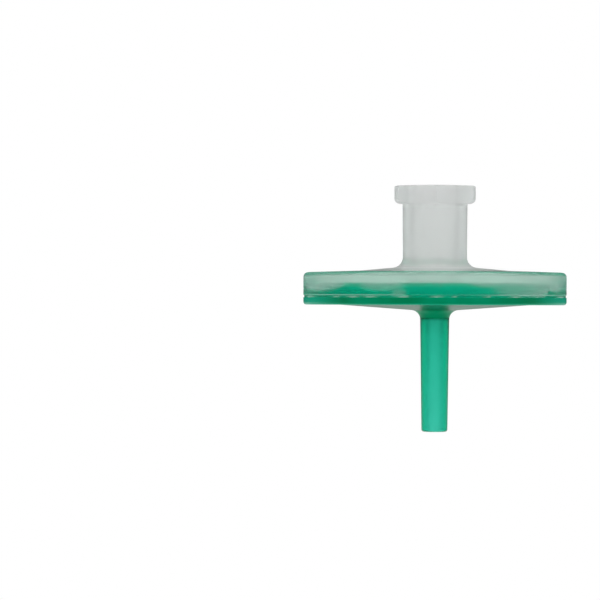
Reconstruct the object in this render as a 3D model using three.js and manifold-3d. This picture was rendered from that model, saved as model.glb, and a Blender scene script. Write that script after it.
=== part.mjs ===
// Syringe filter of the 25 mm class, in polypropylene: an inlet shell with a Luer-lock socket and
// an outlet shell with a slim nozzle, welded together round a membrane disc.
// Millimetres. The origin is the centre of the socket's mouth, and +Z points out of that mouth, so
// the liquid runs down -Z and the two locking lugs lie along X.
import * as THREE from "three";
import { mergeVertices } from "three/addons/utils/BufferGeometryUtils.js";
import Module from "manifold-3d";

const wasm = await Module();
wasm.setup();

// ---- Driving dimensions ----

// Luer-lock end: a tapered socket in a round neck, with two lugs at its mouth
const socketMouthDiameter = 4.3;
const socketTaper = 0.06; // loss of diameter for each millimetre of depth
const neckWall = 0.98; // at the mouth
const neckDraft = 0.009; // loss of radius for each millimetre from the mouth
const mouthRounding = 0.15;
const lugSpan = 7.8; // across both lugs
const lugHeight = 1.7;
const lugTipWidth = 3;
const lugUnderRounding = 0.5;
const inletLength = 8.32; // mouth to the rim's upper edge
const neckRootRounding = 1;

// Membrane and the chamber that it divides
const membraneDiameter = 19.1;
const membraneThickness = 0.2;
const membraneClearance = 0.45; // to the pocket's wall, all round, when the disc is centred
const membraneEdgeGap = 0.12; // left at the closest point of the disc as it lies
const membraneDriftAngle = THREE.MathUtils.degToRad(45);
const ribHeight = 0.45; // of the inlet's ribs, and of its band that clamps the disc's edge
const ribWidth = 0.26;
const ribPitch = 0.61;
const ribCount = 6;
const innerRibRadius = 4.2;
const channelCount = 8; // in the ribs above the disc, and in the plate under it
const channelWidth = 0.9;
const channelDepth = 0.45; // of the outlet's channels
const channelTurn = THREE.MathUtils.degToRad(5);
const clampBandWidth = 1.7; // measured inwards from the pocket's wall
const clampClearance = 0.15;

// Round body
const inletPlateWall = 1.05; // at the rim's upper edge
const outletPlateWall = 0.94; // under the channels
const weldRingWidth = 1.33;
const weldClearance = 0.12; // between the weld ring and the skirt round it
const skirtWall = 1.16;
const seamGap = 0.2; // height of the groove outside, between the skirt and the flange
const seamDepth = 0.08; // of that groove
const flangeThickness = 0.71; // of the outlet shell's rim, below the seam
const rimTopWidth = 5.3; // gently sloping band on top, outside the cone
const rimTopFall = 0.17; // across that band
const rimTopRounding = 0.45;
const inletConeRise = 0.39; // from that band to the neck
const flangeFaceWidth = 3.4; // flat band underneath, outside the cone
const flangeRounding = 0.28;
const outletConeDrop = 0.56;

// Outlet nozzle
const nozzleLength = 12.16; // rim's underside to the tip
const nozzleRootDiameter = 2.8;
const nozzleTipDiameter = 2.48;
const nozzleRootRounding = 0.9;
const nozzleTipRounding = 0.22;
const nozzleBoreRootDiameter = 1.2;
const nozzleBoreTipDiameter = 1.26;

// Facets
const sides = 48; // of every round surface
const roundingSteps = 4; // of a rounded corner
const cutOverrun = 0.5; // how far a cutter runs past what it cuts
const ribRooting = 0.2; // how far a rib runs into its plate, so that the two join

// ---- Derived radii ----
const socketMouthRadius = socketMouthDiameter / 2;
const neckRadius = socketMouthRadius + neckWall;
const lugRadius = lugSpan / 2;
const membraneRadius = membraneDiameter / 2;
const pocketRadius = membraneRadius + membraneClearance;
const clampOuterRadius = pocketRadius - clampClearance;
const clampInnerRadius = pocketRadius - clampBandWidth;
const weldRingRadius = pocketRadius + weldRingWidth;
const skirtInnerRadius = weldRingRadius + weldClearance;
const bodyRadius = skirtInnerRadius + skirtWall;
const skirtFootRadius = bodyRadius - seamDepth;
const inletConeRadius = bodyRadius - rimTopWidth;
const outletConeRadius = bodyRadius - flangeFaceWidth;
const nozzleRootRadius = nozzleRootDiameter / 2;
const nozzleTipRadius = nozzleTipDiameter / 2;
const membraneDrift = membraneClearance - membraneEdgeGap;

// ---- Derived levels, down from the mouth at 0 ----
const rimTop = -inletLength;
const inletConeFoot = rimTop + rimTopFall;
const neckRoot = inletConeFoot + inletConeRise;
const ceiling = rimTop - inletPlateWall;
const membraneTop = ceiling - ribHeight;
const membraneUnderside = membraneTop - membraneThickness;
const floor = membraneUnderside - channelDepth;
const rimUnderside = floor - outletPlateWall;
const flangeTop = rimUnderside + flangeThickness;
const skirtEnd = flangeTop + seamGap;
const nozzleRoot = rimUnderside - outletConeDrop;
const nozzleTip = rimUnderside - nozzleLength;

// ---- Helpers ----

// A closed outline from its corners [radius, height, rounding]; the rounding may be left out.
function outline(corners) {
  const at = (i) => new THREE.Vector2(...corners.at(i % corners.length).slice(0, 2));
  return corners.flatMap(([, , rounding = 0], i) => {
    const corner = at(i);
    if (!rounding) return [corner];
    const back = at(i - 1).sub(corner).normalize();
    const on = at(i + 1).sub(corner).normalize();
    const half = Math.acos(back.dot(on)) / 2;
    const start = back.clone().multiplyScalar(rounding / Math.tan(half)).add(corner);
    const inward = back.add(on).normalize();
    const centre = inward.multiplyScalar(rounding / Math.sin(half)).add(corner);
    const sweep = Math.PI - 2 * half;
    const arm = start.clone().sub(centre);
    const turn = Math.sign(arm.cross(corner.clone().sub(centre))) * sweep;
    return Array.from({ length: roundingSteps + 1 }, (_, k) =>
      start.clone().rotateAround(centre, (turn * k) / roundingSteps),
    );
  });
}

// A manifold-3d solid from a closed three.js geometry.
function solid(geometry) {
  geometry.deleteAttribute("normal");
  geometry.deleteAttribute("uv");
  const merged = mergeVertices(geometry, 1e-5);
  return new wasm.Manifold(
    new wasm.Mesh({
      numProp: 3,
      vertProperties: merged.attributes.position.array,
      triVerts: new Uint32Array(merged.index.array),
    }),
  );
}

// The solid that an outline sweeps round the Z axis; its corners run clockwise, with Z up the page.
function turned(corners) {
  const points = outline(corners).reverse();
  points.push(points[0].clone());
  return solid(new THREE.LatheGeometry(points, sides).rotateX(Math.PI / 2));
}

// A named mesh from a manifold-3d solid.
function piece(name, shape, material) {
  const { vertProperties, triVerts, numProp } = shape.getMesh();
  const geometry = new THREE.BufferGeometry();
  const positions = new THREE.InterleavedBuffer(vertProperties, numProp);
  geometry.setAttribute("position", new THREE.InterleavedBufferAttribute(positions, 3, 0));
  geometry.setIndex(new THREE.BufferAttribute(triVerts, 1));
  const flat = geometry.toNonIndexed();
  flat.computeVertexNormals();
  const mesh = new THREE.Mesh(flat, material);
  mesh.name = name;
  return mesh;
}

// ---- Inlet shell ----

// Both lugs as one plate: two rounded tips, with sides that run tangent to the neck.
function lugs() {
  const tipAngle = Math.asin(lugTipWidth / 2 / lugRadius);
  const tangentAngle = tipAngle + Math.acos(neckRadius / lugRadius);
  const tangentX = neckRadius * Math.cos(tangentAngle);
  const tangentY = neckRadius * Math.sin(tangentAngle);
  const plan = new THREE.Shape();
  plan.absarc(0, 0, lugRadius, -tipAngle, tipAngle);
  plan.lineTo(tangentX, tangentY);
  plan.lineTo(-tangentX, tangentY);
  plan.absarc(0, 0, lugRadius, Math.PI - tipAngle, Math.PI + tipAngle);
  plan.lineTo(-tangentX, -tangentY);
  plan.lineTo(tangentX, -tangentY);
  const plate = new THREE.ExtrudeGeometry(plan, {
    depth: lugHeight + 2 * cutOverrun,
    bevelEnabled: false,
    curveSegments: roundingSteps,
  });
  const rounded = turned([
    [0, 0],
    [lugRadius, 0, mouthRounding],
    [lugRadius, -lugHeight, lugUnderRounding],
    [0, -lugHeight],
  ]);
  return solid(plate.translate(0, 0, -lugHeight - cutOverrun)).intersect(rounded);
}

// The tapered hole from the mouth through to the chamber.
function socket() {
  const radiusAt = (z) => socketMouthRadius + (z * socketTaper) / 2;
  const above = cutOverrun;
  const below = ceiling - cutOverrun;
  return turned([
    [0, above],
    [radiusAt(above), above],
    [radiusAt(below), below],
    [0, below],
  ]);
}

// Radial channels that cross in the middle, as one cutter between two levels.
function channels(reach, top, bottom) {
  let shape = null;
  for (let i = 0; i < channelCount / 2; i += 1) {
    const bar = new THREE.BoxGeometry(2 * reach, channelWidth, top - bottom);
    bar.rotateZ(channelTurn + (i * 2 * Math.PI) / channelCount);
    bar.translate(0, 0, (top + bottom) / 2);
    const channel = solid(bar);
    shape = shape ? shape.add(channel) : channel;
  }
  return shape;
}

// Concentric ribs under the ceiling, cut by the channels, that hold the membrane down.
function ribs() {
  const root = ceiling + ribRooting;
  let shape = null;
  for (let i = 0; i < ribCount; i += 1) {
    const inner = innerRibRadius + i * ribPitch - ribWidth / 2;
    const outer = inner + ribWidth;
    const ring = turned([
      [inner, root],
      [outer, root],
      [outer, membraneTop],
      [inner, membraneTop],
    ]);
    shape = shape ? shape.add(ring) : ring;
  }
  return shape.subtract(channels(pocketRadius, root + cutOverrun, membraneTop - cutOverrun));
}

function inletShell() {
  const neckRootRadius = neckRadius - neckDraft * -neckRoot;
  const shell = turned([
    [0, 0],
    [neckRadius, 0, mouthRounding],
    [neckRootRadius, neckRoot, neckRootRounding],
    [inletConeRadius, inletConeFoot],
    [bodyRadius, rimTop, rimTopRounding],
    [bodyRadius, skirtEnd],
    [skirtFootRadius, skirtEnd],
    [skirtFootRadius, flangeTop],
    [skirtInnerRadius, flangeTop],
    [skirtInnerRadius, ceiling],
    [clampOuterRadius, ceiling],
    [clampOuterRadius, membraneTop],
    [clampInnerRadius, membraneTop],
    [clampInnerRadius, ceiling],
    [0, ceiling],
  ]);
  return shell.add(lugs()).add(ribs()).subtract(socket());
}

// ---- Outlet shell ----

// The fine hole from the chamber to the tip, wider at the tip.
function nozzleBore() {
  const rootRadius = nozzleBoreRootDiameter / 2;
  const tipRadius = nozzleBoreTipDiameter / 2;
  const widening = (tipRadius - rootRadius) / (floor - nozzleTip);
  const above = floor + cutOverrun;
  const below = nozzleTip - cutOverrun;
  return turned([
    [0, above],
    [rootRadius - widening * cutOverrun, above],
    [tipRadius + widening * cutOverrun, below],
    [0, below],
  ]);
}

function outletShell() {
  const shell = turned([
    [0, membraneUnderside],
    [pocketRadius, membraneUnderside],
    [pocketRadius, ceiling],
    [weldRingRadius, ceiling],
    [weldRingRadius, flangeTop],
    [bodyRadius, flangeTop],
    [bodyRadius, rimUnderside, flangeRounding],
    [outletConeRadius, rimUnderside],
    [nozzleRootRadius, nozzleRoot, nozzleRootRounding],
    [nozzleTipRadius, nozzleTip, nozzleTipRounding],
    [0, nozzleTip],
  ]);
  const drains = channels(clampInnerRadius, membraneUnderside + cutOverrun, floor);
  return shell.subtract(drains).subtract(nozzleBore());
}

// ---- Membrane ----

// The disc lies a little off the middle of its pocket.
function membrane() {
  const disc = new THREE.CylinderGeometry(membraneRadius, membraneRadius, membraneThickness, sides);
  disc.rotateX(Math.PI / 2);
  disc.translate(
    membraneDrift * Math.cos(membraneDriftAngle),
    membraneDrift * Math.sin(membraneDriftAngle),
    (membraneTop + membraneUnderside) / 2,
  );
  return solid(disc);
}

// ---- Materials and assembly ----
const naturalPolypropylene = new THREE.MeshStandardMaterial({
  color: 0xc8cdca,
  roughness: 0.35,
  metalness: 0,
});
const greenPolypropylene = new THREE.MeshStandardMaterial({
  color: 0x009a68,
  roughness: 0.25,
  metalness: 0,
});
const whiteMembrane = new THREE.MeshStandardMaterial({
  color: 0xf2f2ee,
  roughness: 0.9,
  metalness: 0,
});

const syringeFilter = new THREE.Group();
syringeFilter.add(
  piece("inlet_shell", inletShell(), naturalPolypropylene),
  piece("membrane", membrane(), whiteMembrane),
  piece("outlet_shell", outletShell(), greenPolypropylene),
);

export default syringeFilter;
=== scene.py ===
# %% [markdown]
# # A syringe filter
#
# The real object is three pieces: an inlet moulding of milky polypropylene with a Luer-lock
# socket, an outlet moulding of green polypropylene with a slim nozzle, and a white filter disc
# between them. The mouldings are welded in a ring near the rim. Both are round, so the lesson
# models each outline once and turns it round the flow axis. Then it spends its effort on what
# makes moulded plastic believable: wall thickness, light that sinks in, and small edges.

# %% Load the CAD frame
import math

import bmesh
import bpy
from mathutils import Matrix, Vector


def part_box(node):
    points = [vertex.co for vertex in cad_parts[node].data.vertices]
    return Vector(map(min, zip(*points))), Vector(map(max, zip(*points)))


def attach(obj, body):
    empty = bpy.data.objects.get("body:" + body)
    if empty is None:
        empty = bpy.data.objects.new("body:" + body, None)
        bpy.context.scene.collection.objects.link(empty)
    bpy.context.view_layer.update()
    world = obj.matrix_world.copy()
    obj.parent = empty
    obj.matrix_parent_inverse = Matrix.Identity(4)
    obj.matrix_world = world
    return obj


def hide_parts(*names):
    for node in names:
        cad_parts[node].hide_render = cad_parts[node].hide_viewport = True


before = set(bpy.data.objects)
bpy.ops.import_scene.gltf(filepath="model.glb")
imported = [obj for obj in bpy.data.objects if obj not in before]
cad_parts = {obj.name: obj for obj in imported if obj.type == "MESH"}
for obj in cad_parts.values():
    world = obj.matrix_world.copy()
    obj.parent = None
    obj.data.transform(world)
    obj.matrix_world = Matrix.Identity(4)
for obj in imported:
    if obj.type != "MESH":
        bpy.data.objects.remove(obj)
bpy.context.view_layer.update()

print("CAD nodes:", sorted(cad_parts))

# %% [markdown]
# ## Sizes
#
# Everything is in metres, in the frame of the CAD model: the origin is the middle of the
# socket's mouth and the liquid runs down -Z. Outer sizes and levels are read from the CAD
# nodes. Sizes that a node's box can't tell are named here, in millimetres times MM.

# %% Levels and radii
MM = 0.001

inlet_low, inlet_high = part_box("inlet_shell")
disc_low, disc_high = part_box("membrane")
outlet_low, outlet_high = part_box("outlet_shell")

body_radius = outlet_high.x
mouth_level = inlet_high.z
ceiling = outlet_high.z
disc_top = disc_high.z
disc_underside = disc_low.z
nozzle_tip = outlet_low.z
disc_radius = (disc_high.x - disc_low.x) / 2

socket_mouth_radius = 2.15 * MM
socket_slope = 0.03
neck_radius = 3.13 * MM
neck_slope = 0.009
lug_radius = 3.9 * MM
lug_height = 1.7 * MM
lug_tip_width = 3 * MM

rim_top = -8.32 * MM
cone_foot = rim_top + 0.17 * MM
neck_root = cone_foot + 0.39 * MM
cone_foot_radius = body_radius - 5.3 * MM

pocket_radius = disc_radius + 0.45 * MM
clamp_outer_radius = pocket_radius - 0.15 * MM
clamp_inner_radius = pocket_radius - 1.7 * MM
skirt_inner_radius = pocket_radius + 1.45 * MM

flange_top = inlet_low.z
skirt_end = flange_top + 0.2 * MM
rim_underside = flange_top - 0.71 * MM
channel_floor = disc_underside - 0.45 * MM
nozzle_root = rim_underside - 0.56 * MM
outlet_cone_radius = body_radius - 3.4 * MM
nozzle_root_radius = 1.4 * MM
nozzle_tip_radius = 1.24 * MM
bore_root_radius = 0.6 * MM
bore_tip_radius = 0.63 * MM

turn_steps = 192
print(f"body {2 * body_radius / MM:.2f} mm across, {(mouth_level - nozzle_tip) / MM:.2f} mm long")

# %% [markdown]
# ## How an outline is made
#
# A turned shape could be stacked from cylinders, but the joints between them would show as
# hard rings. One outline that goes all the way round the wall is better: a single vertex is
# extruded from corner to corner, the corners that are round on the moulding are beveled, and
# the spin operator sweeps the outline into a closed wall.

# %% Select by place


def selected_only(piece):
    bpy.ops.object.select_all(action="DESELECT")
    piece.select_set(True)
    bpy.context.view_layer.objects.active = piece


def pick_vertices(test):
    """Selects the vertices whose place passes the test, in the mesh that is in edit mode."""
    bpy.ops.mesh.select_mode(type="VERT")
    bpy.ops.mesh.select_all(action="DESELECT")
    mesh = bmesh.from_edit_mesh(bpy.context.object.data)
    picked = [vertex for vertex in mesh.verts if test(vertex.co)]
    for vertex in picked:
        vertex.select_set(True)
    mesh.select_flush_mode()
    bmesh.update_edit_mesh(bpy.context.object.data)
    return len(picked)


# %% Turn an outline
near = 1e-6
arc_segments = 6


def round_corner(before, corner, after, radius):
    """Bevels one corner of an outline to an arc of that radius."""
    back = (before - corner).normalized()
    on = (after - corner).normalized()
    reach = radius / math.tan(back.angle(on) / 2)
    pick_vertices(lambda place: (place - corner).length < near)
    bpy.ops.mesh.bevel(offset=reach, segments=arc_segments, profile=0.5, affect="VERTICES",
                       clamp_overlap=False)


def turned(name, corners):
    """A closed wall from corners (radius, height, rounding), turned round the flow axis."""
    places = [Vector((radius, 0, height)) for radius, height, _ in corners]
    bpy.ops.object.select_all(action="DESELECT")
    bpy.ops.mesh.primitive_plane_add(size=MM, location=places[0])
    piece = bpy.context.object
    piece.name = piece.data.name = name
    bpy.ops.object.transform_apply()
    bpy.ops.object.mode_set(mode="EDIT")
    bpy.ops.mesh.merge(type="CENTER")
    for here, there in zip(places, places[1:]):
        bpy.ops.mesh.extrude_vertices_move(TRANSFORM_OT_translate={"value": there - here})
    first, last = places[0], places[-1]
    pick_vertices(lambda place: min((place - first).length, (place - last).length) < near)
    bpy.ops.mesh.edge_face_add()
    for i, (_, _, rounding) in enumerate(corners):
        if rounding:
            round_corner(places[i - 1], places[i], places[(i + 1) % len(places)], rounding)
    bpy.ops.mesh.select_all(action="SELECT")
    bpy.ops.mesh.spin(steps=turn_steps, angle=math.tau, center=(0, 0, 0), axis=(0, 0, 1))
    bpy.ops.mesh.select_all(action="SELECT")
    bpy.ops.mesh.remove_doubles(threshold=near / 10)
    bpy.ops.mesh.normals_make_consistent(inside=False)
    bpy.ops.object.mode_set(mode="OBJECT")
    print(f"{name}: {len(piece.data.vertices)} vertices")
    return piece


# %% Join or cut two pieces


def combined(piece, other, operation):
    """Joins the other piece to this one, or cuts it out of this one."""
    selected_only(piece)
    boolean = piece.modifiers.new(operation.lower(), "BOOLEAN")
    boolean.operation = operation
    boolean.object = other
    bpy.ops.object.modifier_apply(modifier=boolean.name)
    bpy.data.objects.remove(other)


# %% [markdown]
# ## Inlet moulding
#
# The milky shell is one wall that folds over itself: down from the socket's mouth, out over the
# shallow cone, down the skirt to its foot on the green flange, and back along the ceiling to the
# socket. The skirt steps in a little above its foot, which leaves the fine groove that marks
# the weld. The foot dips slightly into the flange, because welded plastic is one piece there,
# and a film of air between the two would show as a false mirror.

# %% Inlet outline
mouth_rounding = 0.12 * MM
neck_rounding = 0.15 * MM
neck_fillet = 1 * MM
cone_fillet = 8 * MM
shoulder_rounding = 0.45 * MM
skirt_rounding = 0.06 * MM
seam_depth = 0.08 * MM
contact = 0.02 * MM
foot_radius = body_radius - seam_depth
foot_level = flange_top - contact


def socket_radius(level):
    return socket_mouth_radius + level * socket_slope


inlet = turned("inlet_moulding", [
    (socket_radius(0), mouth_level, mouth_rounding),
    (neck_radius, mouth_level, neck_rounding),
    (neck_radius + neck_root * neck_slope, neck_root, neck_fillet),
    (cone_foot_radius, cone_foot, cone_fillet),
    (body_radius, rim_top, shoulder_rounding),
    (body_radius, skirt_end, skirt_rounding),
    (foot_radius, skirt_end, 0),
    (foot_radius, foot_level, 0),
    (skirt_inner_radius, foot_level, 0.03 * MM),
    (skirt_inner_radius, ceiling, 0.08 * MM),
    (clamp_outer_radius, ceiling, 0),
    (clamp_outer_radius, disc_top, 0),
    (clamp_inner_radius, disc_top, 0),
    (clamp_inner_radius, ceiling, 0),
    (socket_radius(ceiling), ceiling, 0.05 * MM),
])

# %% [markdown]
# ## Locking lugs
#
# Two ears at the mouth turn under the ramps of a syringe's collar. They could be modelled one by
# one, but both lie on one circle, so a round plate, rounded at its edges, is trimmed by four
# planes that almost touch the neck. That gives the tapered ears in one go and keeps them alike.

# %% Lugs
lug_top_rounding = 0.15 * MM
lug_foot_rounding = 0.5 * MM
lug_side_inset = 0.03 * MM


def lug_plate():
    bpy.ops.object.select_all(action="DESELECT")
    bpy.ops.mesh.primitive_cylinder_add(vertices=turn_steps, radius=lug_radius, depth=lug_height,
                                        location=(0, 0, mouth_level - lug_height / 2))
    plate = bpy.context.object
    bpy.ops.object.transform_apply()
    bpy.ops.object.mode_set(mode="EDIT")
    for level, rounding in ((mouth_level, lug_top_rounding),
                            (mouth_level - lug_height, lug_foot_rounding)):
        pick_vertices(lambda place: abs(place.z - level) < near)
        bpy.ops.mesh.bevel(offset=rounding, segments=arc_segments, affect="EDGES")
    tip_angle = math.asin(lug_tip_width / 2 / lug_radius)
    side_radius = neck_radius - lug_side_inset
    side_angle = tip_angle + math.acos(side_radius / lug_radius)
    for across in (1, -1):
        for along in (1, -1):
            normal = Vector((across * math.cos(side_angle), along * math.sin(side_angle), 0))
            bpy.ops.mesh.select_all(action="SELECT")
            bpy.ops.mesh.bisect(plane_co=normal * side_radius, plane_no=normal, use_fill=True,
                                clear_outer=True, threshold=near / 10)
    bpy.ops.object.mode_set(mode="OBJECT")
    return plate


lugs = lug_plate()
cutter_top = 1 * MM
cutter_end = -4 * MM
socket_cutter = turned("socket_cutter", [
    (0, cutter_top, 0),
    (socket_radius(cutter_top), cutter_top, 0),
    (socket_radius(cutter_end), cutter_end, 0),
    (0, cutter_end, 0),
])
combined(lugs, socket_cutter, "DIFFERENCE")
combined(inlet, lugs, "UNION")
print("with lugs:", len(inlet.data.vertices))

# %% [markdown]
# ## Ribs under the ceiling
#
# Rings on the ceiling hold the disc down while the liquid spreads over it, and eight channels
# cut through them let it flow outward. Crossing bars make the channels: the same bars, placed
# lower, cut the drain channels of the outlet later.

# %% Channel bars
channel_width = 0.9 * MM
channel_turn = math.radians(5)
channel_bar_count = 4


def channel_bars(low, high, reach):
    """Crossing bars from low to high, for a boolean."""
    bars = []
    for i in range(channel_bar_count):
        turn = channel_turn + i * math.pi / channel_bar_count
        bpy.ops.object.select_all(action="DESELECT")
        bpy.ops.mesh.primitive_cube_add(size=1, location=(0, 0, (low + high) / 2),
                                        scale=(2 * reach, channel_width, high - low),
                                        rotation=(0, 0, turn))
        bpy.ops.object.transform_apply()
        bars.append(bpy.context.object)
    for bar in bars[1:]:
        combined(bars[0], bar, "UNION")
    return bars[0]


# %% Ribs
rib_width = 0.26 * MM
rib_pitch = 0.61 * MM
inner_rib_radius = 4.2 * MM
rib_count = 6
rib_rounding = 0.05 * MM
rib_root = ceiling + 0.2 * MM
spare = 1 * MM

rings = []
for i in range(rib_count):
    inside = inner_rib_radius + i * rib_pitch - rib_width / 2
    outside = inside + rib_width
    rings.append(turned("rib", [
        (inside, rib_root, 0),
        (outside, rib_root, 0),
        (outside, disc_top, rib_rounding),
        (inside, disc_top, rib_rounding),
    ]))
ribs = rings[0]
for ring in rings[1:]:
    combined(ribs, ring, "UNION")
combined(ribs, channel_bars(disc_top - spare, rib_root + spare, pocket_radius), "DIFFERENCE")
combined(inlet, ribs, "UNION")
print("with ribs:", len(inlet.data.vertices))

# %% [markdown]
# ## Weld flash
#
# Where the mouldings were pressed together, a little melted plastic has come out into the
# groove here and there. It could be a bead of its own, but it is part of the skirt, so the
# foot's lowest vertices are moved outward at those places. An attribute keeps how far each one
# moved, and the material turns it milky there.

# %% Weld flash
flash_reach = 0.9 * seam_depth
flash_places = (
    # angle from the front and half width, in degrees
    (-50, 2.5), (-40, 4), (-31, 3.5), (-16, 3), (-2, 2.5), (6, 1), (20, 1.5), (34, 3),
    (47, 1.5), (69, 6), (92, 3), (118, 5), (141, 2), (163, 4), (188, 3), (214, 2), (236, 5),
    (262, 3), (287, 6),
)


def angle_from_front(place):
    return math.degrees(math.atan2(place.x, -place.y))


def turn_between(angle, other):
    return (angle - other + 180) % 360 - 180


def flash_share(angle):
    """How far the flash fills the groove here, from 0 to 1."""
    return max(max(0, 1 - (turn_between(angle, middle) / half_width) ** 2)
               for middle, half_width in flash_places)


flash = inlet.data.attributes.new("flash", "FLOAT", "POINT")
moved = 0
for vertex in inlet.data.vertices:
    radius = math.hypot(vertex.co.x, vertex.co.y)
    if abs(radius - foot_radius) < near and vertex.co.z < foot_level + near:
        share = flash_share(angle_from_front(vertex.co))
        flash.data[vertex.index].value = share
        grown = 1 + share * flash_reach / radius
        vertex.co.x *= grown
        vertex.co.y *= grown
        moved += share > 0
print("flash vertices:", moved)

# %% [markdown]
# ## Outlet moulding
#
# The green shell carries the flange, the ring that is welded inside the skirt, the support
# plate under the disc, and the nozzle with its bore. The ring's outer wall has rows of vertices,
# so that the next step can open the weld in places, and it dips slightly into the skirt and
# the ceiling, as welded plastic does.

# %% Outlet outline
flange_rounding = 0.28 * MM
nozzle_fillet = 0.9 * MM
tip_rounding = 0.22 * MM
weld_radius = skirt_inner_radius + contact
weld_top = ceiling + contact
weld_rows = 12
weld_row_height = (weld_top - flange_top) / weld_rows

outlet = turned("outlet_moulding", [
    (bore_root_radius, disc_underside, 0),
    (pocket_radius, disc_underside, 0.05 * MM),
    (pocket_radius, weld_top, 0),
    *((weld_radius, weld_top - i * weld_row_height, 0) for i in range(weld_rows + 1)),
    (body_radius, flange_top, 0.05 * MM),
    (body_radius, rim_underside, flange_rounding),
    (outlet_cone_radius, rim_underside, 0),
    (nozzle_root_radius, nozzle_root, nozzle_fillet),
    (nozzle_tip_radius, nozzle_tip, tip_rounding),
    (bore_tip_radius, nozzle_tip, 0.08 * MM),
])
drains = channel_bars(channel_floor, disc_underside + spare, clamp_inner_radius)
combined(outlet, drains, "DIFFERENCE")
print("outlet:", len(outlet.data.vertices))

# %% [markdown]
# ## Weld gaps
#
# The weld isn't perfect all round. Where it holds, the skirt looks deep green, because nothing
# lies between the two plastics. Where it has stayed open, their matt faces scatter light, and
# the rim looks paler. So the ring's wall steps back in soft patches, and an attribute keeps
# how pale each vertex looks. The ring's top edge is a little pale all round.

# %% Weld gaps
weld_gap = 0.14 * MM
top_haze = 0.1
top_haze_rows = 3
gap_softness = 1.5
weld_gaps = (
    # angle from the front, half width in degrees, level and half height in millimetres
    (-27, 10, -9.6, 0.42),
    (-19, 3, -10.4, 0.5),
    (-66, 17, -9.4, 0.55),
    (23, 9, -9.35, 0.4),
    (40, 14, -9.8, 0.75),
    (50, 8, -9.9, 0.9),
    (66, 9, -9.55, 0.45),
    (110, 22, -9.7, 0.8),
    (160, 14, -9.9, 0.7),
    (196, 20, -9.6, 0.8),
    (244, 18, -9.8, 0.7),
)


def gap_share(angle, level):
    """How far the weld has stayed open here, from 0 to 1."""
    share = 0
    for middle, half_width, height, half_height in weld_gaps:
        aside = turn_between(angle, middle) / half_width
        apart = (level / MM - height) / half_height
        share = max(share, gap_softness - aside ** 2 - apart ** 2)
    return min(share, 1)


def haze_share(angle, level):
    """How pale the weld looks: more where it is open, and everywhere a little at the top."""
    share = gap_share(angle, level)
    below_top = (weld_top - level) / (top_haze_rows * weld_row_height)
    return share + max(0, 1 - below_top) * (top_haze + share)


haze = outlet.data.attributes.new("weld_haze", "FLOAT", "POINT")
opened = 0
for vertex in outlet.data.vertices:
    radius = math.hypot(vertex.co.x, vertex.co.y)
    level = vertex.co.z
    if abs(radius - weld_radius) < near and level > flange_top + near:
        angle = angle_from_front(vertex.co)
        haze.data[vertex.index].value = haze_share(angle, level)
        share = gap_share(angle, level)
        if level < weld_top - near:
            vertex.co.x *= 1 - share * weld_gap / radius
            vertex.co.y *= 1 - share * weld_gap / radius
        opened += share > 0
print("opened weld vertices:", opened)

# %% [markdown]
# ## Filter disc
#
# The disc is punched from a thin white sheet. It lies between the clamping band and the support
# plate, a hair thinner than the space, and its punched edges are softened by a small bevel.

# %% Filter disc
disc_clearance = 0.01 * MM
disc_edge = 0.03 * MM

bpy.ops.object.select_all(action="DESELECT")
bpy.ops.mesh.primitive_cylinder_add(vertices=turn_steps, radius=disc_radius,
                                    depth=disc_top - disc_underside - 2 * disc_clearance,
                                    location=(disc_low + disc_high) / 2)
disc = bpy.context.object
disc.name = disc.data.name = "filter_disc"
bpy.ops.object.transform_apply()
soften = disc.modifiers.new("edges", "BEVEL")
soften.width = disc_edge
soften.segments = 2
bpy.ops.object.modifier_apply(modifier=soften.name)
print("disc:", len(disc.data.vertices), "vertices")

# %% [markdown]
# ## Smooth shading
#
# Turned walls should look round, but the step at a groove or a lug should stay sharp. Smoothing
# by angle does both: only edges that turn more than the limit are shown as edges.

# %% Smooth by angle
sharp_angle = math.radians(28)
for piece in (inlet, outlet, disc):
    selected_only(piece)
    bpy.ops.object.shade_smooth_by_angle(angle=sharp_angle)
    print(piece.name, "is smooth")

# %% [markdown]
# ## Building blocks for the materials
#
# Both plastics need the same few things: a place on the piece to tell the neck from the rim, a
# soft step from one value to another, and a fine unevenness of the moulded face. They are small
# functions here, so that each material below reads as a list of what the plastic does.

# %% Nodes


def new_material(name):
    material = bpy.data.materials.new(name)
    material.use_nodes = True
    material.node_tree.nodes.clear()
    return material


def add_node(material, kind, **settings):
    node = material.node_tree.nodes.new(kind)
    for key, value in settings.items():
        node.inputs[key.replace("_", " ")].default_value = value
    return node


def feed(material, value, socket):
    """Links an output to the socket, or sets a plain value on it."""
    if isinstance(value, bpy.types.NodeSocket):
        material.node_tree.links.new(value, socket)
    else:
        socket.default_value = value


# %% Numbers from nodes


def calculated(material, operation, first, *others):
    """Joins the values one after the other."""
    for other in others:
        node = material.node_tree.nodes.new("ShaderNodeMath")
        node.operation = operation
        feed(material, first, node.inputs[0])
        feed(material, other, node.inputs[1])
        first = node.outputs["Value"]
    return first


def span(start, end):
    """A change of place, from where it starts to where it ends, in millimetres."""
    return start * MM, end * MM


def stepped(material, value, change, at_start, at_end):
    """Goes from at_start to at_end as the value goes through the change, and is level outside."""
    node = material.node_tree.nodes.new("ShaderNodeMapRange")
    for socket, setting in zip(node.inputs, (value, *change, at_start, at_end)):
        feed(material, setting, socket)
    return node.outputs["Result"]


def past(material, value, change):
    """Goes from 0 to 1 through the change."""
    return stepped(material, value, change, 0, 1)


def until(material, value, change):
    """Goes from 1 to 0 through the change."""
    return stepped(material, value, change, 1, 0)


# %% Mixes


def blended(material, share, first, second):
    """A mix of two shaders, with that share of the second."""
    node = material.node_tree.nodes.new("ShaderNodeMixShader")
    for value, socket in zip((share, first, second), node.inputs):
        feed(material, value, socket)
    return node.outputs["Shader"]


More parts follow.
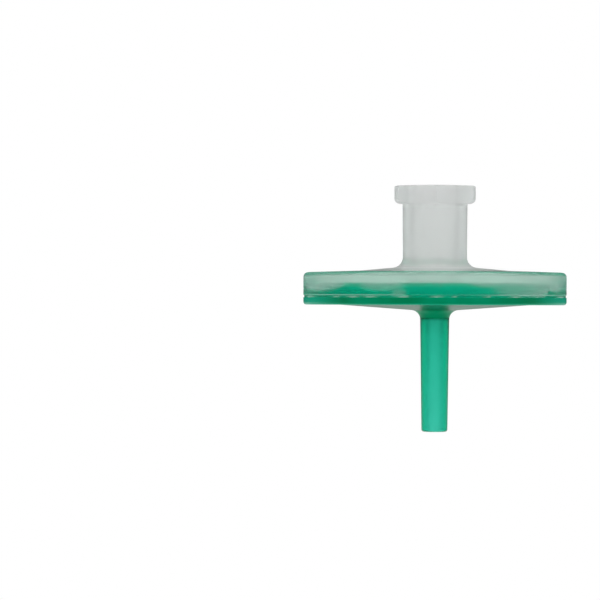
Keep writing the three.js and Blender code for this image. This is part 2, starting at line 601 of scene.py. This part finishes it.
def tinted(material, share, first, second):
    """A mix of two colours, with that share of the second."""
    node = material.node_tree.nodes.new("ShaderNodeMix")
    node.data_type = "RGBA"
    feed(material, share, node.inputs["Factor"])
    sockets = [socket for socket in node.inputs if socket.type == "RGBA"]
    for colour, socket in zip((first, second), sockets):
        feed(material, colour, socket)
    return next(socket for socket in node.outputs if socket.type == "RGBA")


# %% Place and grain
grain_height = 0.03 * MM
grain_scale = 900


def place_on(material):
    """The coordinates, the distance to either side, the level and the distance from the axis."""
    coordinates = add_node(material, "ShaderNodeTexCoord").outputs["Object"]
    axes = add_node(material, "ShaderNodeSeparateXYZ")
    feed(material, coordinates, axes.inputs["Vector"])
    x, y, level = axes.outputs
    squares = [calculated(material, "MULTIPLY", side, side) for side in (x, y)]
    across = calculated(material, "POWER", squares[0], 0.5)
    radius = calculated(material, "POWER", calculated(material, "ADD", *squares), 0.5)
    return coordinates, across, level, radius


def noise(material, coordinates, scale):
    node = add_node(material, "ShaderNodeTexNoise", Scale=scale, Detail=3, Roughness=0.55)
    feed(material, coordinates, node.inputs["Vector"])
    return node.outputs["Fac"]


def uneven(material, coordinates, scale, height, strength):
    """A fine unevenness of a face, as a normal."""
    bump = add_node(material, "ShaderNodeBump", Strength=strength, Distance=height)
    feed(material, noise(material, coordinates, scale), bump.inputs["Height"])
    return bump.outputs["Normal"]


def attribute(material, name):
    node = material.node_tree.nodes.new("ShaderNodeAttribute")
    node.attribute_name = name
    return node.outputs["Fac"]


# %% Milk and finish
plastic_refraction = 1.49
shadow_tint = (0.92, 0.92, 0.92, 1)


def milky(material, colour):
    """Light that enters matt plastic and comes out again, half of it on the far side."""
    front = material.node_tree.nodes.new("ShaderNodeBsdfDiffuse")
    through = material.node_tree.nodes.new("ShaderNodeBsdfTranslucent")
    for shader in (front, through):
        feed(material, colour, shader.inputs["Color"])
    return blended(material, 0.5, front.outputs["BSDF"], through.outputs["BSDF"])


def finish(material, surface, absorbed, density):
    """Lets the lamps' light through the plastic, and gives it its inside."""
    clear = add_node(material, "ShaderNodeBsdfTransparent", Color=shadow_tint)
    inside = add_node(material, "ShaderNodeVolumeAbsorption", Color=absorbed, Density=density)
    path = material.node_tree.nodes.new("ShaderNodeLightPath")
    output = material.node_tree.nodes.new("ShaderNodeOutputMaterial")
    shaded = blended(material, path.outputs["Is Shadow Ray"], surface, clear.outputs["BSDF"])
    feed(material, shaded, output.inputs["Surface"])
    feed(material, inside.outputs["Volume"], output.inputs["Volume"])
    print(material.name, "has", len(material.node_tree.nodes), "nodes")


# %% [markdown]
# ## Milky polypropylene
#
# Polypropylene without colour is clear plastic full of tiny crystals. A volume that scatters
# would be true to that, but it needs very many bounces. So the surface does it: a share of it
# is milky and the rest is rough glass. The thick neck and cone are milky. The top over the green
# ring and the lower skirt are almost clear, so that the green shows through. The corner of the
# rim, its two sides, the skirt's lower edge and the flash in the groove are milky again, because
# light goes a long way through the plastic there or comes out at an edge.

# %% Zones of the milky plastic
# levels
lug_foot_change = span(-2.2, -1.6)
shoulder_change = span(-8.6, -8.2)
corner_level_change = span(-8.75, -8.55)
skirt_top_change = span(-9.8, -9)
skirt_side_change = span(-10.3, -9.7)
edge_start = span(-10.52, -10.5)
edge_end = span(-10.46, -10.42)
neck_colour_change = span(-9.2, -7.8)
# distances from the axis
neck_foot_change = span(2.9, 4)
cone_change = span(4.5, 6)
over_ring_change = span(9.3, 9.9)
corner_change = span(11.3, 11.5)
wall_change = span(11.8, 12.4)
# distances to either side
edge_side_change = span(3, 5.5)
rim_end_change = span(10.5, 11.6)

# %% How milky it is
neck_share, lug_share = 0.32, 0.52
cone_start_share, cone_end_share = 0.7, 0.5
over_ring_share, corner_share = 0.1, 0.6
skirt_top_share = 0.3
edge_front_share, edge_side_share = 0.1, 0.5
end_low_share, end_high_share = 0.12, 0.45
flash_milkiness = 0.75


def milky_share(material, across, level, radius, flash):
    """How much of the surface is milky: a share for the top and one for the skirt's wall."""
    neck = stepped(material, level, lug_foot_change, neck_share, lug_share)
    cone = stepped(material, radius, cone_change, cone_start_share, cone_end_share)
    cone = stepped(material, radius, over_ring_change, cone, over_ring_share)
    top = stepped(material, radius, neck_foot_change, neck, cone)
    top = stepped(material, radius, corner_change, top, corner_share)
    edge = calculated(
        material, "MULTIPLY", past(material, level, edge_start), until(material, level, edge_end),
        stepped(material, across, edge_side_change, edge_front_share, edge_side_share))
    wall = stepped(material, level, skirt_top_change, 0, skirt_top_share)
    wall = calculated(material, "ADD", wall, edge)
    rim_end = stepped(material, level, skirt_side_change, end_low_share, end_high_share)
    rim_end = calculated(material, "MULTIPLY", past(material, across, rim_end_change), rim_end)
    wall = calculated(material, "MAXIMUM", wall, rim_end)
    top = calculated(material, "MULTIPLY", past(material, level, shoulder_change), top)
    wall = calculated(material, "MULTIPLY", until(material, level, shoulder_change),
                      past(material, radius, wall_change), wall)
    flash = calculated(material, "MULTIPLY", flash, flash_milkiness)
    return calculated(material, "ADD", top, wall, flash)


# %% The milk's colour
neck_milk = (0.9, 0.89, 0.895, 1)
# Painted green light: the rim's milk is greener, as if lit from the green moulding below.
rim_green_lit_milk = (0.74, 0.86, 0.81, 1)
# Painted green light at the rim's two ends, left and right of the front.
end_green_lit_milk = (0.45, 0.75, 0.66, 1)
# Painted green light at the rim's corner over the green ring.
corner_green_lit_milk = (0.28, 0.66, 0.53, 1)
# The flash's near-white is partly its own milky colour and partly painted light against the shade
# in the groove.
flash_milk = (0.93, 0.98, 0.96, 1)
flash_change = (0, 0.5)


def milk_colour(material, across, level, radius, flash):
    """White on the neck, and greener towards the rim's corner and its two ends: painted green
    light.
    """
    milk = tinted(material, past(material, across, rim_end_change), rim_green_lit_milk, end_green_lit_milk)
    milk = tinted(material, past(material, level, neck_colour_change), milk, neck_milk)
    corner = calculated(material, "MULTIPLY", past(material, radius, corner_change),
                        past(material, level, corner_level_change))
    milk = tinted(material, corner, milk, corner_green_lit_milk)
    return tinted(material, past(material, flash, flash_change), milk, flash_milk)


# %% Milky polypropylene
milky_grain = 0.12
wall_roughness, top_roughness = 0.31, 0.19
rougher_patches = 0.03
patch_scale = 400
patch_change = (0.3, 0.7)
# The milky plastic's inside absorbs red: painted green light, as if from the green moulding, not
# a colour of its own.
green_light_absorption = (0.1, 0.9, 0.6, 1)
rim_density = 20


def natural_polypropylene():
    material = new_material("natural_polypropylene")
    coordinates, across, level, radius = place_on(material)
    clear = add_node(material, "ShaderNodeBsdfPrincipled", Base_Color=(0.95, 0.95, 0.95, 1),
                     IOR=plastic_refraction, Transmission_Weight=1,
                     Specular_Tint=(0.05, 0.05, 0.05, 1))
    patches = noise(material, coordinates, patch_scale)
    roughness = calculated(
        material, "ADD", stepped(material, level, shoulder_change, wall_roughness, top_roughness),
        stepped(material, patches, patch_change, 0, rougher_patches))
    feed(material, roughness, clear.inputs["Roughness"])
    grain = uneven(material, coordinates, grain_scale, grain_height, milky_grain)
    feed(material, grain, clear.inputs["Normal"])
    flash = attribute(material, "flash")
    share = milky_share(material, across, level, radius, flash)
    milk = milky(material, milk_colour(material, across, level, radius, flash))
    surface = blended(material, share, clear.outputs["BSDF"], milk)
    finish(material, surface, green_light_absorption, rim_density)
    return material


natural = natural_polypropylene()

# %% [markdown]
# ## Green polypropylene
#
# The green dye stops red light within a millimetre and lets green through, so the nozzle glows
# and the thick flange is deep. The nozzle is rough glass with that dye in its volume, and a thin
# haze on its bore shows as a lighter stripe. In the flange and the ring the light finds no
# straight way out, and there a share of the surface is solid colour: deep in the flange with some
# streaks, with painted light along its lower edge and at its two ends, and a painted glow of
# backlight in the ring. Open weld shows as a pale haze, and the line where the plastic met
# itself in the mould as a fine one.

# %% Zones of the green plastic
# levels
disc_level_change = span(-12.75, -12.65)
low_edge_change = span(-11.38, -11.22)
ring_level_change = span(-10.75, -10.65)
knit_level_change = span(-9.9, -9.5)
# distances from the axis
bore_change = span(0.75, 0.8)
root_change = span(1.9, 2.2)
root_cone_change = span(1.9, 2.6)
flange_change = span(10.5, 11.5)
low_edge_radius_change = span(11, 12)
# distances to either side
knit_change = span(0.02, 0.08)
flange_end_change = span(9, 12)

# %% The solid green
root_green = (0, 0.36, 0.16, 1)
flange_green = (0, 0.25, 0.1, 1)
# Painted light: the flange's lower edge is lighter; the random streaks take the same green.
lit_edge_and_streak_green = (0, 0.5, 0.28, 1)
# Painted light: the flange's two ends, left and right of the front, are lighter.
flange_end_lit_green = (0, 0.45, 0.27, 1)
# Painted glow: the ring is lighter, for light that comes through it from behind.
ring_backlight_green = (0, 0.58, 0.36, 1)
streak_scale = 160
streak_change = (0.45, 0.7)
streak_strength = 0.45


def solid_green(material, coordinates, across, level, radius):
    """The colour of the solid share: the flange with streaks, painted light on its lower edge and
    its ends, a painted glow in the ring, and the root.
    """
    streaks = noise(material, coordinates, streak_scale)
    streaks = stepped(material, streaks, streak_change, 0, streak_strength)
    # Painted light along the flange's lower edge, mixed with random streaks.
    low_edge = calculated(material, "MULTIPLY", until(material, level, low_edge_change),
                          past(material, radius, low_edge_radius_change))
    brighter = calculated(material, "MAXIMUM", low_edge, streaks)
    colour = tinted(material, brighter, flange_green, lit_edge_and_streak_green)
    # Painted light at the flange's two ends.
    flange_end = past(material, across, flange_end_change)
    colour = tinted(material, flange_end, colour, flange_end_lit_green)
    # Painted glow of backlight in the ring.
    colour = tinted(material, past(material, level, ring_level_change), colour, ring_backlight_green)
    return tinted(material, until(material, radius, root_change), colour, root_green)


# %% How solid it is
nozzle_solid = 0.03
root_solid, cone_solid = 0.86, 0.6
flange_solid, flange_end_solid = 0.88, 0.98
ring_solid = 0.72


def solid_share(material, across, level, radius):
    """How much of the surface is solid: hardly any on the nozzle, nearly all in the flange."""
    cone = stepped(material, radius, root_cone_change, root_solid, cone_solid)
    flange = stepped(material, across, flange_end_change, flange_solid, flange_end_solid)
    disc = stepped(material, radius, flange_change, cone, flange)
    share = stepped(material, level, disc_level_change, nozzle_solid, disc)
    return stepped(material, level, ring_level_change, share, ring_solid)


# %% The pale haze
open_weld_haze = 0.32
knit_haze = 0.3
bore_haze = 0.14
haze_colour = (0.82, 0.97, 0.92, 1)


def pale_haze(material, across, level, radius):
    """How much haze lies on the open weld, the knit line and the bore."""
    weld = calculated(material, "MULTIPLY", attribute(material, "weld_haze"), open_weld_haze)
    knit = calculated(material, "MULTIPLY", stepped(material, across, knit_change, knit_haze, 0),
                      past(material, level, knit_level_change))
    bore = stepped(material, radius, bore_change, bore_haze, 0)
    return calculated(material, "MAXIMUM", weld, knit, bore)


# %% Green polypropylene
green_grain = 0.05
green_gloss = (0.05, 0.5, 0.3, 1)
smoothest, roughest = 0.29, 0.33
green_absorption = (0, 0.866, 0.753, 1)
green_density = 2300


def green_polypropylene():
    material = new_material("green_polypropylene")
    coordinates, across, level, radius = place_on(material)
    clear = add_node(material, "ShaderNodeBsdfPrincipled", Base_Color=(1, 1, 1, 1),
                     IOR=plastic_refraction, Transmission_Weight=1, Specular_Tint=green_gloss)
    patches = noise(material, coordinates, patch_scale)
    feed(material, stepped(material, patches, patch_change, smoothest, roughest),
         clear.inputs["Roughness"])
    solid = add_node(material, "ShaderNodeBsdfPrincipled", IOR=plastic_refraction, Roughness=0.35,
                     Specular_IOR_Level=0.2, Specular_Tint=green_gloss)
    feed(material, solid_green(material, coordinates, across, level, radius),
         solid.inputs["Base Color"])
    grain = uneven(material, coordinates, grain_scale, grain_height, green_grain)
    for shader in (clear, solid):
        feed(material, grain, shader.inputs["Normal"])
    share = solid_share(material, across, level, radius)
    surface = blended(material, share, clear.outputs["BSDF"], solid.outputs["BSDF"])
    haze = pale_haze(material, across, level, radius)
    surface = blended(material, haze, surface, milky(material, haze_colour))
    finish(material, surface, green_absorption, green_density)
    return material


green = green_polypropylene()

# %% [markdown]
# ## Membrane white
#
# The disc is a sheet of fine open foam. Its pores are far too small to see, and what shows is
# a chalky white without gloss, very slightly uneven. Bump at that scale is enough.

# %% Membrane white
chalk_tones = (0.88, 0.88, 0.86, 1), (0.92, 0.92, 0.9, 1)
chalk_patch_scale = 700
pore_scale = 6000
pore_depth = 0.02 * MM
pore_strength = 0.3

white = new_material("membrane_white")
chalk = add_node(white, "ShaderNodeBsdfPrincipled", Roughness=0.9)
coordinates = add_node(white, "ShaderNodeTexCoord").outputs["Object"]
chalk_patches = noise(white, coordinates, chalk_patch_scale)
feed(white, tinted(white, chalk_patches, *chalk_tones), chalk.inputs["Base Color"])
pores = uneven(white, coordinates, pore_scale, pore_depth, pore_strength)
feed(white, pores, chalk.inputs["Normal"])
white_output = add_node(white, "ShaderNodeOutputMaterial")
feed(white, chalk.outputs["BSDF"], white_output.inputs["Surface"])
print(white.name, "has", len(white.node_tree.nodes), "nodes")

# %% [markdown]
# ## Pieces and what they stand for
#
# Each visible piece takes the place of one CAD solid and gets one material over its whole
# surface, because a volume needs a closed surface of one material.

# %% Put the materials on
for piece, material, node, slot in (
        (inlet, natural, "inlet_shell", "natural_polypropylene"),
        (disc, white, "membrane", "membrane_white"),
        (outlet, green, "outlet_shell", "green_polypropylene")):
    piece.data.materials.clear()
    piece.data.materials.append(material)
    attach(piece, "root")
    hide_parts(node)
    print(piece.name, "stands for", node)

# %% [markdown]
# ## Floor
#
# The floor is plain white paper. It could be lit until it looks white, but then the filter would
# be too bright. Instead the camera sees it mostly as plain white light, with a share of real
# paper left in, so that shadows still fall on it. It lies low enough to stay out of the picture.

# %% Floor
floor_level = -0.4
floor_size = 6
light_share = 0.7
paper_white = (0.95, 0.95, 0.95, 1)

bpy.ops.object.select_all(action="DESELECT")
bpy.ops.mesh.primitive_plane_add(size=floor_size, location=(0, 0, floor_level))
bpy.ops.object.transform_apply()
floor = bpy.context.object
floor.name = "floor"
paper = new_material("floor_paper")
matt = add_node(paper, "ShaderNodeBsdfDiffuse", Color=paper_white)
glow = add_node(paper, "ShaderNodeEmission", Color=(1, 1, 1, 1), Strength=1)
path = add_node(paper, "ShaderNodeLightPath")
seen = calculated(paper, "MAXIMUM", path.outputs["Is Camera Ray"], path.outputs["Is Glossy Ray"],
                  path.outputs["Is Transmission Ray"])
glowing = calculated(paper, "MULTIPLY", seen, light_share)
paper_output = add_node(paper, "ShaderNodeOutputMaterial")
feed(paper, blended(paper, glowing, matt.outputs["BSDF"], glow.outputs["Emission"]),
     paper_output.inputs["Surface"])
floor.data.materials.append(paper)
print("floor at", floor_level)

# %% [markdown]
# ## World
#
# The background is white for the camera and for light that has passed through the plastic.
# Reflections see a dimmer room, as in a studio with dark walls beside the white paper: that
# keeps the edges of the plastic deep instead of pale. Everything else gets plain soft light.

# %% World
reflected_room = 0.05
soft_light = 0.65
no_or_yes = (0, 1)

world = bpy.data.worlds.new("studio")
bpy.context.scene.world = world
world.use_nodes = True
world.node_tree.nodes.clear()
path = add_node(world, "ShaderNodeLightPath")
background = add_node(world, "ShaderNodeBackground", Color=(1, 1, 1, 1))
world_output = add_node(world, "ShaderNodeOutputWorld")
brightness = soft_light
for ray, seen_as in (("Is Glossy Ray", reflected_room), ("Is Transmission Ray", 1),
                     ("Is Camera Ray", 1)):
    brightness = stepped(world, path.outputs[ray], no_or_yes, brightness, seen_as)
feed(world, brightness, background.inputs["Strength"])
feed(world, background.outputs["Background"], world_output.inputs["Surface"])
print(world.name, "has", len(world.node_tree.nodes), "nodes")

# %% [markdown]
# ## Lamps
#
# Two tall softboxes stand left and right of the camera and give the neck and the rim their
# soft shading, and a third hangs above for the sloping faces. They are large and near, so that
# no hard spot shows on the plastic.

# %% Lamps
softbox_width = 0.16
softbox_height = 0.5
softbox_distance = 0.6
softboxes = (
    # name, radiance, degrees to the right of the front, degrees up
    ("softbox_left", 1.5, -40, 10),
    ("softbox_right", 1.5, 40, 10),
    ("softbox_top", 1.9, 0, 80),
)
filter_middle = Vector((0, 0, (mouth_level + nozzle_tip) / 2))


def softbox(name, radiance, azimuth, lift):
    lamp = bpy.data.lights.new(name, "AREA")
    lamp.shape = "RECTANGLE"
    lamp.size = softbox_width
    lamp.size_y = softbox_height
    lamp.energy = math.pi * softbox_width * softbox_height * radiance
    holder = bpy.data.objects.new(name, lamp)
    bpy.context.scene.collection.objects.link(holder)
    way = Vector((math.sin(azimuth) * math.cos(lift), -math.cos(azimuth) * math.cos(lift),
                  math.sin(lift)))
    holder.location = filter_middle + way * softbox_distance
    holder.rotation_euler = way.to_track_quat("Z", "Y").to_euler()
    holder.visible_camera = False
    print(name, "at", [round(side, 3) for side in holder.location])


for name, radiance, right, up in softboxes:
    softbox(name, radiance, math.radians(right), math.radians(up))

# %% [markdown]
# ## Camera
#
# The filter is seen exactly from the side, from 300 mm away with a long lens, so that the rim is
# a plain band. The camera looks past it, because the filter stands right of the middle, and it
# is rolled by a fraction of a degree.

# %% Camera
camera_place = Vector((-12.93 * MM, -300 * MM, -10.98 * MM))
camera_roll = math.radians(0.17)
level_gaze = Matrix.Rotation(math.pi / 2, 4, "X")

camera_data = bpy.data.cameras.new("camera")
camera_data.lens = 187.6
camera_data.sensor_width = 36
camera_data.clip_start = 0.01
camera_data.clip_end = 20
camera = bpy.data.objects.new("camera", camera_data)
bpy.context.scene.collection.objects.link(camera)
camera.location = camera_place
camera.rotation_euler = (level_gaze @ Matrix.Rotation(camera_roll, 4, "Z")).to_euler()
bpy.context.scene.camera = camera
print("camera at", [round(side / MM, 2) for side in camera_place])

# %% [markdown]
# ## Finish
#
# The colours are shown plainly, without a film look. The dressed model has to stay inside
# the CAD model's box.

# %% The end
bpy.context.scene.view_settings.view_transform = "Standard"
